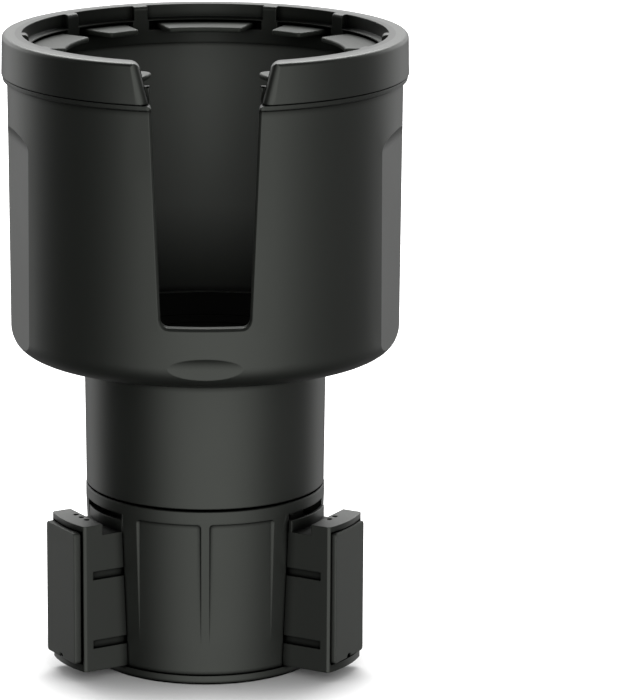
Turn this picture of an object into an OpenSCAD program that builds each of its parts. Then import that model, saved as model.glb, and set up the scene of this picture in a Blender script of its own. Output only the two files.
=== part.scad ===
// Cup holder expander for a car: a large cup on a narrow neck, whose base
// grips the car's own cup well with three arms that a scroll drives in and out.
// The front, with the handle slot, faces -Y. The foot stands on Z = 0.

/* [Overall] */
// Height from the foot to the top of the rim
total_h = 181; // [160:1:220]

/* [Cup] */
// Outer radius of the cup wall just under the rim
cup_top_r = 55.6; // [50:0.1:60]
// How much smaller the outer radius is at the foot of the wall
cup_draft = 0.4; // [0:0.1:1.5]
// Thickness of the cup wall
cup_wall = 3; // [2:0.1:4]
// Height at which the wall starts to turn into the underside
cup_turn_z = 97.4; // [92:0.1:104]
// Radius of the round edge between the cup's wall and its underside
cup_edge_r = 6.8; // [4:0.1:9]
// Slope of the cup's underside in degrees
under_slope = 14; // [8:0.5:18]
// Thickness of the cup's floor
cup_floor_t = 3.4; // [3:0.1:4.5]
// How far the ledge above the well stands in from the wall
ledge_w = 2.2; // [1:0.1:3]

/* [Handle slot] */
// Half width of the slot at its lower end
slot_low_w = 12.1; // [9:0.1:15]
// Half width of the slot where it meets the rim
slot_top_w = 14.5; // [10:0.1:18]
// Height of the slot's lower edge
slot_z = 108.4; // [100:0.5:130]
// Radius of the slot's lower corners
slot_corner_r = 2.2; // [1:0.1:4]
// Radius of the corners where the slot's sides end under the rim
slot_end_r = 1.3; // [0.6:0.1:1.6]
// Width of the bevel round the slot
slot_bevel = 0.8; // [0.4:0.1:1.2]

/* [Side flats] */
// Direction of the flats, in degrees from the front
flat_angle = 75.5; // [70:0.5:80]
// Depth of the flats at their middle
flat_depth = 1.75; // [1:0.05:2.2]
// Height at which a flat starts to run out
flat_top_z = 151.5; // [130:0.5:160]
// Radius of the run-out at the top of a flat
flat_run_r = 7; // [4:0.5:14]

/* [Thumb flat] */
// Depth of the small flat below the slot
thumb_depth = 1; // [0.6:0.05:1.4]
// Height at which the small flat starts to run out
thumb_top_z = 96.7; // [94:0.1:101]
// Radius of the run-out at the top of the small flat
thumb_run_r = 5.8; // [3:0.1:9]

/* [Rim] */
// Thickness of the rim's band outside the cup's edge
band_t = 1.35; // [1.2:0.05:2.4]
// Height of the rim's outer band
rim_h = 11.1; // [8:0.1:14]
// Thickness of the rim's top
rim_top_t = 2.4; // [1.8:0.1:4]
// Radius of the rim's outer top edge
rim_edge_r = 1.3; // [0.6:0.1:2]
// Height of the open seam between the band and the flange below it
band_seam = 0.3; // [0.2:0.05:0.6]
// Height of the bevelled flange below the band
flange_h = 1.7; // [1:0.1:2.4]
// Thickness of the rim's skirt inside the cup's edge
skirt_t = 1; // [0.8:0.1:1.6]
// How far the ribs stand in from the mouth
rib_step = 1.9; // [1:0.1:3]
// Half width of the gap at the rim's top
gap_top_w = 20.4; // [16:0.1:26]
// Half width of the gap at the rim's lower edge
gap_low_w = 16.5; // [15:0.1:20]
// Radius of the corners where the gap meets the rim's top
gap_corner_r = 3; // [1:0.1:4]
// Thickness of the rim's end walls at the gap
end_wall = 4; // [3:0.1:5]
// Radius of the round front edges of the end walls
end_round_r = 2.4; // [0.8:0.1:3]
// Half width of the gap in the rim's inner skirt
skirt_gap_w = 15; // [13:0.1:16]

/* [Grip tabs] */
// Height of the tabs' top face below the rim's top
tab_drop = 5; // [3.6:0.1:7]
// Thickness of a tab
tab_t = 1.5; // [1:0.1:2]
// Radius that the tabs leave open in the middle
tab_open_r = 39.3; // [34:0.1:44]
// Half angle of a wide tab at the rim
tab_wide_a = 18.6; // [14:0.1:19.5]
// Half angle of a narrow tab at the rim
tab_narrow_a = 10.4; // [7:0.1:12]

/* [Neck] */
// Outer radius of the neck at its top
neck_top_r = 34.4; // [30:0.1:38]
// How much smaller the outer radius is at the neck's lower end
neck_draft = 0.35; // [0:0.05:1]
// Thickness of the neck wall
neck_wall = 2.2; // [1.8:0.1:3.5]
// Height of the seam between the neck and the base
seam_z = 51.3; // [48:0.1:56]
// Height of the open seam
seam_gap = 0.4; // [0.2:0.05:0.8]
// Thickness of the plate at the neck's lower end
neck_plate_t = 2.4; // [2:0.1:4]

/* [Base] */
// How far the housing's collar stands out from the neck
collar_step = 0.15; // [0:0.05:0.8]
// How much smaller the housing's outer radius is at its lower end
base_draft = 1.8; // [1:0.1:2.4]
// Thickness of the housing wall
base_wall = 2.2; // [1.8:0.1:2.6]
// Height of the collar above the arms' windows
collar_h = 3.3; // [2.5:0.1:5]
// How far the foot stands out from the housing
foot_lip = 0.6; // [0.3:0.1:1.5]
// Thickness of the foot
foot_t = 2.6; // [2.2:0.1:4]
// Width of the strip between the front panels
panel_strip_w = 2.4; // [1.6:0.1:4]
// Angle from the middle to a panel's outer edge
panel_angle = 34.5; // [28:0.5:36]
// Depth of the panels
panel_depth = 0.5; // [0.3:0.05:0.8]

/* [Arms] */
// Half width of an arm
arm_w = 9.55; // [8.5:0.05:10]
// Clearance between an arm and its guide
arm_clear = 0.25; // [0.15:0.05:0.4]
// Distance between an arm's inner end and the foot's post, arms in
arm_inner_gap = 2; // [1.7:0.1:3]
// Height of an arm's low top face above the ground
arm_top_z = 42.6; // [40:0.1:43]
// Height of an arm's raised head above its low top face
arm_head_h = 3; // [2:0.1:3.2]
// Distance from the pad's face to the inner end of the raised head
arm_head_l = 8.5; // [7.4:0.1:11]
// Height of the guide grooves
groove_h = 2.4; // [1.6:0.1:3]
// Depth of the guide grooves
groove_d = 1.1; // [0.8:0.05:1.4]
// Distance from the pad's face to the closed end of a groove
groove_end = 5.4; // [4.9:0.1:6.8]
// Height of the middle of the lower guide groove
groove_low_z = 10.7; // [9:0.1:12]
// Height of the middle of the upper guide groove
groove_high_z = 30.9; // [26:0.1:34]
// Diameter of the index holes
index_d = 1.6; // [1.2:0.1:2.2]
// Distance between the index holes
index_pitch = 3.2; // [2.6:0.1:4]

/* [Scroll drive] */
// Distance that the arms move in one turn of the cup
pitch = 3.2; // [3:0.1:3.6]
// Turns of the cup from arms out to arms in
turns = 4; // [3:0.25:4]
// Thickness of the scroll's ridge
ridge_t = 1; // [0.8:0.05:1.1]
// Thickness of a rack tooth
tooth_t = 1; // [0.8:0.05:1.1]
// Height of a rack tooth
tooth_h = 2.5; // [1.8:0.1:2.8]
// Half width of the rack teeth inside the base
tooth_w = 3; // [2:0.1:3.2]
// Distance from an arm's inner end to the middle of the first tooth
tooth_in = 1.1; // [0.8:0.05:1.5]
// Radius of the spindle that the scroll turns on
spindle_r = 3; // [2.5:0.1:3.2]

/* [Pads] */
// How far the pads stand out from the collar with the arms in
pad_stand = 0.3; // [0:0.1:1.6]
// Thickness of a pad's plate
pad_t = 2.25; // [1.8:0.05:2.3]
// Half width of a pad
pad_w = 8.35; // [6.5:0.05:8.5]
// Height of a pad's lower edge above the ground
pad_low_z = 5.3; // [4.5:0.1:8]
// Height of a pad's upper edge above the ground
pad_top_z = 43.7; // [40:0.1:44]

/* [Hidden] */
$fn = 96;
eps = 0.02;
far = 200;

// clearance of a turning fit, of pieces that are pressed together, of pieces that
// sit or slide in each other, and of pieces that only pass each other
fit = 0.05;
press = 0.1;
snug = 0.2;
pass = 0.3;

// cup
cup_low_r = cup_top_r - cup_draft;
cup_top_z = total_h - rim_top_t;
band_z = total_h - rim_h;
cup_in_r = cup_top_r - cup_wall;
cup_in_low_r = cup_low_r - cup_wall;
cup_turn_r = cup_low_r - cup_edge_r;
under_edge_r = cup_turn_r + cup_edge_r * sin(under_slope);
under_edge_z = cup_turn_z - cup_edge_r * cos(under_slope);
cup_under_z = under_edge_z - (under_edge_r - neck_top_r) * tan(under_slope);
floor_z = cup_under_z + cup_floor_t;
locate_h = 2;
well_r = cup_in_low_r - ledge_w;
ledge_step = 0.8;
ledge_z = floor_z + (well_r - neck_top_r) * tan(under_slope) + ledge_step;
mat_t = 2;
mat_gap = 0.4;
mat_groove_rs = [12, 22, 32];
mat_groove_w = 0.8;
mat_groove_d = 0.6;

// rim, ribs and tabs
flange_top_z = band_z - band_seam;
slot_lean = atan((slot_top_w - slot_low_w) / (flange_top_z - slot_end_r - slot_z));
slot_corner_run = slot_corner_r * tan((90 - slot_lean) / 2);
tab_count = 5;
skirt_r = cup_in_r - snug;
mouth_r = skirt_r - skirt_t;
rib_r = mouth_r - rib_step;
rib_round_r = 1.2;
tab_ring_t = 1;
tab_ring_under = 0.8;
tab_seat_r = skirt_r + tab_ring_t + snug;
tab_z = total_h - tab_drop - tab_t;
tab_slot_z = tab_z - 0.5;
tab_slot_top = tab_z + tab_t + 0.6;
tab_step = 360 / tab_count;
tab_edge_lean = 3.2;
tab_flare = 0.9;
tab_side_a = 0.6;
pocket_side_a = 1.1;
front_open_a = asin(skirt_gap_w / mouth_r);
shelf_t = 0.35;
shelf_rise = 0.4;
tab_gap_a = 20.5;
cup_flange_r = cup_top_r + 0.15;
band_in_r = cup_flange_r + press;
band_draft = 0.2;
rim_r = band_in_r + band_t;
rim_top_r = rim_r - band_draft;
flange_r = rim_r - band_draft;
// the band is cut up to here at the gap, in front of the skirt's ends
band_cut_y = (chord_y(skirt_r, skirt_gap_w) + chord_y(band_in_r, gap_top_w)) / 2;
// the skirt is open up to here at the gap, behind its ribs
skirt_cut_y = chord_y(rib_r, gap_top_w + gap_corner_r) - 3;

// neck and seam
neck_low_r = neck_top_r - neck_draft;
neck_edge = 0.3;
neck_low_z = seam_z + seam_gap / 2;
collar_top_z = seam_z - seam_gap / 2;
collar_low_z = collar_top_z - collar_h;
neck_plate_z = neck_low_z + neck_plate_t;
neck_hole_r = 9;
post_r = 4;
post_inset = 1.8;
post_ring_r = neck_top_r - neck_wall - post_r - post_inset;
post_top_z = cup_under_z - locate_h - 0.4;
post_rib_t = 1.6;
post_angles = [45, 135, 225, 315];

// screws
screw_r = 1.5;
screw_pilot_r = screw_r - 0.3;
screw_hole_r = screw_r + 0.25;
screw_head_r = 2.8;
screw_head_h = 1.6;
cup_screw_l = 9;
foot_screw_l = 11;
pilot_l = 14;
scroll_screw_grip = 1.6;

// housing's outer radii
base_top_r = neck_low_r + collar_step;
base_low_r = base_top_r - base_draft;
foot_r = base_low_r + foot_lip;
collar_edge = 0.3;

// places along an arm, measured from the axis with the arms out
travel = pitch * turns;
spigot_r = 5.1;
pad_s = base_top_r + travel + pad_stand;
arm_inner_s = spigot_r + arm_inner_gap + travel;
arm_head_s = pad_s - arm_head_l;
groove_s = pad_s - groove_end;
tooth_s = arm_inner_s + tooth_in;
recess_in = 3.4;
socket_in = 5.4;
index_in = 6.9;
recess_s = pad_s - recess_in;
socket_s = pad_s - socket_in;
index_s = pad_s - index_in;

// scroll
rack_rise = 3.4;
rack_top_z = arm_top_z + rack_rise;
ridge_gap = 0.4;
ridge_low_z = rack_top_z + ridge_gap;
scroll_z = rack_top_z + tooth_h + pass;
scroll_top_z = neck_low_z;
collar_wall = base_wall + 0.2;
collar_bore_r = base_top_r - collar_wall;
scroll_r = collar_bore_r - 0.6;
scroll_hub_r = 5.5;
hub_bore_r = spindle_r + fit;
scroll_screw_step = 2.4;
scroll_screw_ring_r = post_ring_r - post_r - scroll_screw_step;
scroll_screw_angles = [0, 120, 240];
// each arm stands a third of the pitch further out than the one before
arm_angles = [90, 330, 210];
arm_shifts = [-pitch / 3, pitch / 3, 0];
// radius of the ridge's middle at angle 0, so that arm 3's first tooth meets a gap
ridge_zero_r = tooth_s - pitch * (arm_angles[2] / 360 + 0.5) - 4 * pitch;
ridge_in_r = 9.4;
ridge_start_q = ceil((ridge_in_r - ridge_zero_r) / (pitch / 4));
ridge_end_q = floor((scroll_r - ridge_t - ridge_zero_r) / (pitch / 4));

// friction ring between the scroll and the collar
ring_minor_r = 0.8;
ring_z = (scroll_z + scroll_top_z) / 2;
ring_major_r = collar_bore_r - fit - ring_minor_r;

// base
guide_w = arm_w + arm_clear;
guide_wall = 2;
guide_top_z = arm_top_z + 0.9;
cavity_z = rack_top_z;
panel_corner_r = 1;
rail_in_s = 15;
middle_r = 13;
column_in_r = middle_r + guide_wall;
column_start = 8;
foot_edge = 0.5;
foot_recess_r = 27;
foot_recess_d = 0.6;
foot_screw_ring_r = 22.5;
foot_screw_z = foot_recess_d + 0.5;
foot_screw_head_h = 0.9;
boss_r = 3.2;
bolt_head_r = 4.3;
bolt_head_h = 1.9;
bolt_seat_z = 2.4;
bolt_socket_r = 2.3;
bolt_socket_z = 1.4;
bolt_over = 0.8;
washer_r = 6;
washer_t = 0.8;
washer_gap = 0.15;
nut_t = 2.6;
nut_flats = 5.5;
hub_rise = 1.2;
hub_top_z = scroll_top_z + hub_rise;
washer_z = hub_top_z + washer_gap;
nut_z = washer_z + washer_t;
bolt_top_z = nut_z + nut_t + bolt_over;

// arms
arm_low_z = foot_t + pass;
arm_back_r = base_top_r - 1;
lobe_s = travel;
groove_zs = [groove_low_z, groove_high_z];
rail_h = groove_h - 2 * snug;
rail_t = groove_d - press;
rail_end_s = groove_s - travel + min(arm_shifts) - pass;
arm_edge = 0.5;
arm_edge_turn = -38;
pad_edge_r = 0.7;
pad_notch_r = 1.1;
socket_w = 5.9;
socket_margin_z = 4;
cell_wall = 1.5;
cell_in_s = arm_inner_s + 1.8;
cell_out_s = socket_s - cell_wall;
cell_w = arm_w - groove_d - 1.5;
index_depth = 2;

module ring(r_out, r_in, z0, z1) {
    translate([0, 0, z0])
        difference() {
            cylinder(r = r_out, h = z1 - z0);
            translate([0, 0, -eps])
                cylinder(r = r_in, h = z1 - z0 + 2 * eps);
        }
}

module disc(r, z0, z1) {
    translate([0, 0, z0])
        cylinder(r = r, h = z1 - z0);
}

// part of a ring about the axis, centred on the given angle
module ring_part(r_in, r_out, z0, z1, middle, half) {
    rotate([0, 0, middle - half])
        rotate_extrude(angle = 2 * half)
            translate([r_in, z0])
                square([r_out - r_in, z1 - z0]);
}

// upright plate through the front wall with the given outline in X and Z
module front_cut(y_out, y_in) {
    translate([0, -y_in, 0])
        rotate([90, 0, 0])
            linear_extrude(y_out - y_in)
                children();
}

// distance from the axis to a chord of a circle with the given half width
function chord_y(r, half) = sqrt(pow(r, 2) - pow(half, 2));

// points on an arc about a middle, from one angle to another
function arc(x, y, r, a0, a1, steps = 8) =
    [for (i = [0:steps]) let (a = a0 + (a1 - a0) * i / steps) [x + r * cos(a), y + r * sin(a)]];

// the same points on the other side of the middle line, in reverse order
function mirrored(points) =
    [for (i = [len(points) - 1:-1:0]) [-points[i][0], points[i][1]]];

// outline of the handle slot and of the gap that it runs into at the rim, which can be grown
module slot_outline(gap_grow = 0) {
    lean = slot_lean;
    r = slot_corner_r;
    run = slot_corner_run;
    gap_lean = atan((gap_top_w - gap_low_w) / rim_h);
    gap_run = gap_corner_r * tan((90 - gap_lean) / 2);
    right = concat(
        arc(slot_low_w - run, slot_z + r, r, -90, -lean),
        arc(slot_top_w + slot_end_r, flange_top_z - slot_end_r, slot_end_r, 180, 90),
        [[gap_low_w + gap_grow, flange_top_z], [gap_low_w + gap_grow, band_z]],
        arc(gap_top_w + gap_run + gap_grow, total_h - gap_corner_r, gap_corner_r, 180 - gap_lean, 90),
        [[gap_top_w + gap_run + gap_grow, total_h + 5]]);
    polygon(concat(right, mirrored(right)));
}

// solid of revolution inside the cup's outer skin
module cup_skin() {
    rotate_extrude()
        union() {
            polygon([
                [0, cup_under_z],
                [neck_top_r, cup_under_z],
                [under_edge_r, under_edge_z],
                [cup_low_r, cup_turn_z],
                [cup_top_r, flange_top_z - flange_h],
                [flange_r, flange_top_z],
                [cup_flange_r, flange_top_z],
                [cup_flange_r, cup_top_z],
                [0, cup_top_z]
            ]);
            translate([cup_turn_r, cup_turn_z])
                circle(cup_edge_r);
        }
}

// hollow of the cup: wall, ledge, well and the seat of the tab ring
module cup_hollow() {
    rotate_extrude()
        polygon([
            [0, floor_z],
            [neck_top_r, floor_z],
            [well_r, ledge_z - ledge_step],
            [well_r, ledge_z],
            [cup_in_low_r, ledge_z],
            [cup_in_r, band_z],
            [tab_seat_r, band_z],
            [tab_seat_r, total_h],
            [0, total_h]
        ]);
}

// flat on the cup's wall with a round run-out at its top
module wall_flat(angle, flat_r, top_z, run_r) {
    rotate([0, 0, angle])
        rotate([90, 0, 0])
            translate([0, 0, -far / 2])
                linear_extrude(far)
                    union() {
                        translate([flat_r, cup_under_z - 1])
                            square([2 * run_r, top_z - cup_under_z + 1]);
                        translate([flat_r + run_r, top_z])
                            circle(run_r);
                    }
}

// outer radius of the cup's wall at a height
function cup_r(z) = cup_low_r
    + (cup_top_r - cup_low_r) * (z - cup_turn_z) / (flange_top_z - flange_h - cup_turn_z);

// point on the front of a round wall with the given radius
function front_point(r, half, z) = [half, -chord_y(r, half), z];

// places children along an edge on the front, with Z along the edge and X still to the right
module on_edge(low, high) {
    run = high - low;
    heading = atan2(run.y, run.x);
    translate(low)
        rotate([0, acos(run.z / norm(run)), heading])
            rotate([0, 0, -heading])
                children();
}

// bevel round the slot: a cone's wedge below, a cone at each corner and a plane at each side
module slot_bevel_cut() {
    r = slot_corner_r;
    corner_z = slot_z + r;
    corner_x = slot_low_w - slot_corner_run;
    low_r = cup_r(slot_z);
    corner_a = asin(corner_x / low_r);
    // half the turn from the slot's side to the outside of the wall
    half_turn = (90 + asin((slot_low_w + slot_top_w) / 2 / cup_top_r)) / 2;
    // how far the cuts reach past the wall
    out = 1;
    side_cut = 6;
    rotate([0, 0, -90 - corner_a])
        rotate_extrude(angle = 2 * corner_a)
            polygon([
                [low_r - slot_bevel, slot_z],
                [low_r + out, slot_z - slot_bevel - out],
                [low_r + out, slot_z + out],
                [low_r - slot_bevel, slot_z + out]
            ]);
    for (side = [-1, 1])
        rotate([0, 0, -90 + side * corner_a])
            translate([low_r - slot_bevel, 0, corner_z])
                rotate([0, 90, 0])
                    cylinder(r1 = r, r2 = r + slot_bevel + out, h = slot_bevel + out);
    for (side = [0, 1])
        mirror([side, 0, 0])
            on_edge(
                front_point(cup_r(corner_z), slot_low_w, corner_z),
                front_point(cup_top_r, slot_top_w, flange_top_z - slot_end_r))
                rotate([0, 0, 180 + half_turn])
                    translate([-slot_bevel * sin(half_turn), -side_cut / 2, 0])
                        cube([side_cut, side_cut, flange_top_z - slot_end_r - corner_z]);
}

module cup_screw_holes() {
    for (a = post_angles)
        rotate([0, 0, a])
            translate([post_ring_r, 0, 0]) {
                disc(screw_hole_r, cup_under_z - 1, floor_z + 1);
                disc(screw_head_r + snug, floor_z - screw_head_h, floor_z + 1);
            }
}

module cup_body() {
    color([0.2, 0.21, 0.2])
        difference() {
            union() {
                cup_skin();
                ring(neck_top_r - neck_wall - 0.25, neck_top_r - 2 * neck_wall,
                    cup_under_z - locate_h, cup_under_z + eps);
            }
            cup_hollow();
            front_cut(far / 2, cup_in_low_r - 8)
                slot_outline(end_wall + snug);
            slot_bevel_cut();
            for (a = [flat_angle, 180 - flat_angle, 180 + flat_angle, -flat_angle])
                wall_flat(a - 90, cup_top_r - flat_depth, flat_top_z, flat_run_r);
            wall_flat(-90, cup_low_r - thumb_depth, thumb_top_z, thumb_run_r);
            cup_screw_holes();
        }
}

// ribs and pockets are placed from the back of the mouth
function wide_angle(i) = 90 + i * tab_step;
function narrow_angle(i) = 90 + tab_step / 2 + i * tab_step;
function from_front(a) = 180 - abs(((a + 90) % 360) - 180);
function is_front(a) = from_front(a) < front_open_a;

// section of the rim, with no groove for the cup's edge yet
module rim_profile() {
    union() {
        polygon(concat(
            [
                [rib_r, band_z],
                [rim_r, band_z],
                [rim_top_r, total_h - rim_edge_r],
                [rim_top_r - rim_edge_r, total_h]
            ],
            arc(rib_r + rib_round_r, total_h - rib_round_r, rib_round_r, 90, 180)));
        translate([rim_top_r - rim_edge_r, total_h - rim_edge_r])
            circle(rim_edge_r);
    }
}

// slot through the skirt and the ribs for one tab
module tab_slot(middle, half) {
    ring_part(rib_r - 3, skirt_r + 1, tab_slot_z, tab_slot_top, middle, half + tab_side_a);
}

// slots for the tabs, at each wide tab and at each narrow tab but the missing front one
module tab_slots() {
    for (i = [0:tab_count - 1]) {
        tab_slot(wide_angle(i), tab_wide_a);
        if (!is_front(narrow_angle(i)))
            tab_slot(narrow_angle(i), tab_narrow_a);
    }
}

// pockets between the ribs, one behind each tab
module pockets() {
    for (i = [0:tab_count - 1]) {
        pocket(wide_angle(i), tab_wide_a + pocket_side_a);
        if (!is_front(narrow_angle(i)))
            pocket(narrow_angle(i), tab_narrow_a + pocket_side_a);
    }
}

// groove for the cup's edge, which ends inside the rim's end walls
module rim_groove() {
    difference() {
        ring(band_in_r, skirt_r, band_z - 1, cup_top_z);
        front_cut(far / 2, band_cut_y - 4)
            slot_outline(end_wall);
    }
}

// what is cut off a sharp edge between two walls to make it round, with the edge along Z
module edge_round(r, a0, a1, length) {
    half = (a1 - a0) / 2;
    middle = (a0 + a1) / 2;
    centre = r / sin(half) * [cos(middle), sin(middle)];
    outside = -2 * [cos(middle), sin(middle)];
    translate([0, 0, -length / 2])
        linear_extrude(2 * length)
            polygon(concat([outside], arc(centre.x, centre.y, r, a0 - 90, a1 - 270, steps = 12)));
}

// round front edge of an end wall, from the band's outside to the gap
module gap_edge_cut() {
    low = front_point(rim_r, gap_low_w, band_z);
    high = front_point(rim_top_r, gap_top_w, total_h);
    on_edge(low, high)
        edge_round(end_round_r, asin((gap_low_w + gap_top_w) / 2 / rim_r), 90, rim_h);
}

// shelf of the pocket behind a tab, which leans a little to the middle
module pocket(middle, half) {
    low = tab_slot_top + shelf_t;
    rotate([0, 0, middle - half])
        rotate_extrude(angle = 2 * half)
            polygon([
                [rib_r - 2, low],
                [rib_r + 0.2, low],
                [mouth_r, low + shelf_rise],
                [mouth_r, total_h + 1],
                [rib_r - 2, total_h + 1]
            ]);
}

module rim_cap() {
    color([0.22, 0.23, 0.22])
        difference() {
            rotate_extrude()
                rim_profile();
            rim_groove();
            for (side = [0, 1])
                mirror([side, 0, 0])
                    gap_edge_cut();
            front_cut(far / 2, band_cut_y)
                slot_outline();
            front_cut(far / 2, skirt_cut_y)
                intersection() {
                    slot_outline();
                    translate([-far / 2, tab_slot_z + 0.5])
                        square(far);
                }
            translate([-skirt_gap_w, -far / 2, band_z - 1])
                cube([2 * skirt_gap_w, far / 2 - skirt_cut_y, rim_h + 2]);
            pockets();
            tab_slots();
        }
}

// one grip tab: a sector with leaning sides, pointing at the axis
module tab(middle, half) {
    a_in = half - tab_edge_lean;
    r_out = tab_seat_r - 2 * snug;
    inner = tab_open_r * [cos(a_in), sin(a_in)];
    outer = [far / 3 * cos(half), r_out * sin(half) + tab_flare];
    rotate([0, 0, middle])
        translate([0, 0, tab_z])
            linear_extrude(tab_t)
                intersection() {
                    difference() {
                        circle(r_out);
                        circle(tab_open_r);
                    }
                    polygon([[0, 0], inner, outer, [outer.x, -outer.y], [inner.x, -inner.y]]);
                }
}

module tab_ring() {
    color([0.3, 0.31, 0.3])
        difference() {
            union() {
                ring(tab_seat_r - press, skirt_r + press, tab_z - tab_ring_under, tab_z + tab_t + snug);
                for (i = [0:tab_count - 1]) {
                    tab(wide_angle(i), tab_wide_a);
                    if (!is_front(narrow_angle(i)))
                        tab(narrow_angle(i), tab_narrow_a);
                }
            }
            // the front tabs end at the gap
            translate([0, 0, tab_z - 2])
                linear_extrude(tab_t + 4)
                    polygon([
                        [0, 0],
                        far * [-sin(tab_gap_a), -cos(tab_gap_a)],
                        far * [sin(tab_gap_a), -cos(tab_gap_a)]
                    ]);
            // room for the rim's end walls
            front_cut(far / 2, chord_y(skirt_r, gap_top_w + end_wall) - snug)
                slot_outline(end_wall + snug);
        }
}

// mat that lines the well, thinner towards the ledge
module floor_mat() {
    mat_r = well_r - mat_gap;
    color([0.13, 0.13, 0.13])
        difference() {
            rotate_extrude()
                polygon([
                    [0, floor_z],
                    [neck_top_r, floor_z],
                    [mat_r, floor_z + (mat_r - neck_top_r) * tan(under_slope) + fit],
                    [mat_r, ledge_z],
                    [neck_top_r - mat_gap, floor_z + mat_t],
                    [0, floor_z + mat_t]
                ]);
            for (r = mat_groove_rs)
                ring(r + mat_groove_w, r, floor_z + mat_t - mat_groove_d, floor_z + mat_t + 1);
        }
}

// pan head screw whose head stands on seat_z and whose shank goes down
module screw_down(seat_z, length) {
    disc(screw_head_r, seat_z, seat_z + screw_head_h - press);
    disc(screw_pilot_r - fit, seat_z - length, seat_z + eps);
}

module cup_screws() {
    color([0.6, 0.6, 0.62])
        for (a = post_angles)
            rotate([0, 0, a])
                translate([post_ring_r, 0, 0])
                    screw_down(floor_z - screw_head_h, cup_screw_l);
}

module neck_sleeve() {
    in_top = neck_top_r - neck_wall;
    in_low = neck_low_r - neck_wall;
    color([0.2, 0.21, 0.2])
        difference() {
            union() {
                rotate_extrude()
                    polygon([
                        [neck_hole_r, neck_low_z],
                        [neck_low_r - neck_edge, neck_low_z],
                        [neck_low_r, neck_low_z + neck_edge],
                        [neck_top_r, cup_under_z],
                        [in_top, cup_under_z],
                        [in_low, neck_plate_z],
                        [neck_hole_r, neck_plate_z]
                    ]);
                for (a = post_angles)
                    rotate([0, 0, a]) {
                        translate([post_ring_r, 0, 0])
                            disc(post_r, neck_plate_z - eps, post_top_z);
                        bar(post_rib_t / 2, post_ring_r, in_low + neck_wall / 2,
                            neck_plate_z - eps, post_top_z);
                    }
            }
            for (a = post_angles)
                rotate([0, 0, a])
                    translate([post_ring_r, 0, 0])
                        disc(screw_pilot_r, cup_under_z - pilot_l, cup_under_z + 1);
            for (a = scroll_screw_angles)
                rotate([0, 0, a])
                    translate([scroll_screw_ring_r, 0, 0])
                        disc(screw_hole_r, neck_low_z - 1, neck_plate_z + 1);
        }
}

// spiral ridge of quarter turns, whose centres step round a small square
module scroll_ridge() {
    q = pitch / 8;
    centres = [[-q, q], [-q, -q], [q, -q], [q, q]];
    for (k = [ridge_start_q:ridge_end_q - 1])
        translate(centres[k % 4])
            rotate([0, 0, 90 * k])
                rotate_extrude(angle = 90)
                    translate([ridge_zero_r + q + k * pitch / 4 - ridge_t / 2, ridge_low_z])
                        square([ridge_t, scroll_z - ridge_low_z + 0.3]);
}

module scroll_disc() {
    color([0.55, 0.55, 0.56])
        difference() {
            union() {
                disc(scroll_r, scroll_z, scroll_top_z);
                disc(scroll_hub_r, ridge_low_z, hub_top_z);
                scroll_ridge();
            }
            disc(hub_bore_r, ridge_low_z - 1, hub_top_z + 1);
            ring(scroll_r + 1, ring_major_r - ring_minor_r - press,
                ring_z - ring_minor_r - press, ring_z + ring_minor_r + press);
            for (a = scroll_screw_angles)
                rotate([0, 0, a])
                    translate([scroll_screw_ring_r, 0, 0])
                        disc(screw_pilot_r, scroll_z + 0.6, scroll_top_z + 1);
        }
}

module scroll_screws() {
    color([0.6, 0.6, 0.62])
        for (a = scroll_screw_angles)
            rotate([0, 0, a])
                translate([scroll_screw_ring_r, 0, 0])
                    screw_down(neck_plate_z, neck_plate_t + scroll_screw_grip);
}

module friction_ring() {
    color([0.1, 0.1, 0.1])
        rotate_extrude()
            translate([ring_major_r, ring_z])
                circle(ring_minor_r, $fn = 48);
}

// straight bar from the axis outwards, for a window or a guide
module bar(half, s0, s1, z0, z1) {
    translate([s0, -half, z0])
        cube([s1 - s0, 2 * half, z1 - z0]);
}

// hollow column between two arms, open below, with its screw boss
module column_hollow(angle) {
    in_r = base_low_r - base_wall;
    rotate([0, 0, angle])
        difference() {
            disc(in_r, foot_t - 1, guide_top_z - 2);
            for (side = [-60, 60])
                rotate([0, 0, side])
                    bar(guide_w + guide_wall, -eps, far / 2, 0, far);
            rotate([0, 0, 180])
                translate([-column_start, -far / 2, 0])
                    cube([far, far, far]);
            disc(column_in_r, 0, far);
            translate([foot_screw_ring_r, 0, 0])
                disc(boss_r, 0, far);
        }
}

// outer radius of the housing at a height
function base_r(z) = base_low_r
    + (base_top_r - base_low_r) * (z - foot_t) / (collar_low_z - foot_t);

// shallow panel on the front of the housing, deepest at its top, with round top corners
module front_panel(side) {
    top = collar_low_z - 0.6;
    low = foot_t + 0.8;
    inner = panel_strip_w / 2;
    top_outer = base_r(top) * sin(panel_angle);
    low_outer = base_r(low) * sin(panel_angle);
    outline = concat(
        [[inner, low], [low_outer, low]],
        arc(top_outer - panel_corner_r, top - panel_corner_r, panel_corner_r, 0, 90, 4),
        arc(inner + panel_corner_r, top - panel_corner_r, panel_corner_r, 90, 180, 4));
    intersection() {
        front_cut(far / 3, 10)
            polygon([for (p = outline) [side * p.x, p.y]]);
        // outer wall, which faces the front and leans with the housing
        rotate([90, 0, 90])
            linear_extrude(far, center = true)
                polygon([
                    [-base_r(low) * cos(panel_angle), low - 1],
                    [-base_r(top) * cos(panel_angle), top + 1],
                    [-far / 3, top + 1],
                    [-far / 3, low - 1]
                ]);
        rotate_extrude()
            polygon([
                [base_r(low) + 0.1, low - 1],
                [far / 3 + 1, low - 1],
                [far / 3 + 1, top + 1],
                [base_r(top) - panel_depth, top + 1]
            ]);
    }
}

// rail that runs in an arm's groove
module guide_rail(side, z) {
    y0 = side > 0 ? guide_w - rail_t : -guide_w - 0.5;
    translate([rail_in_s, y0, z - rail_h / 2])
        cube([rail_end_s - rail_in_s, rail_t + 0.5, rail_h]);
}

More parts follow.
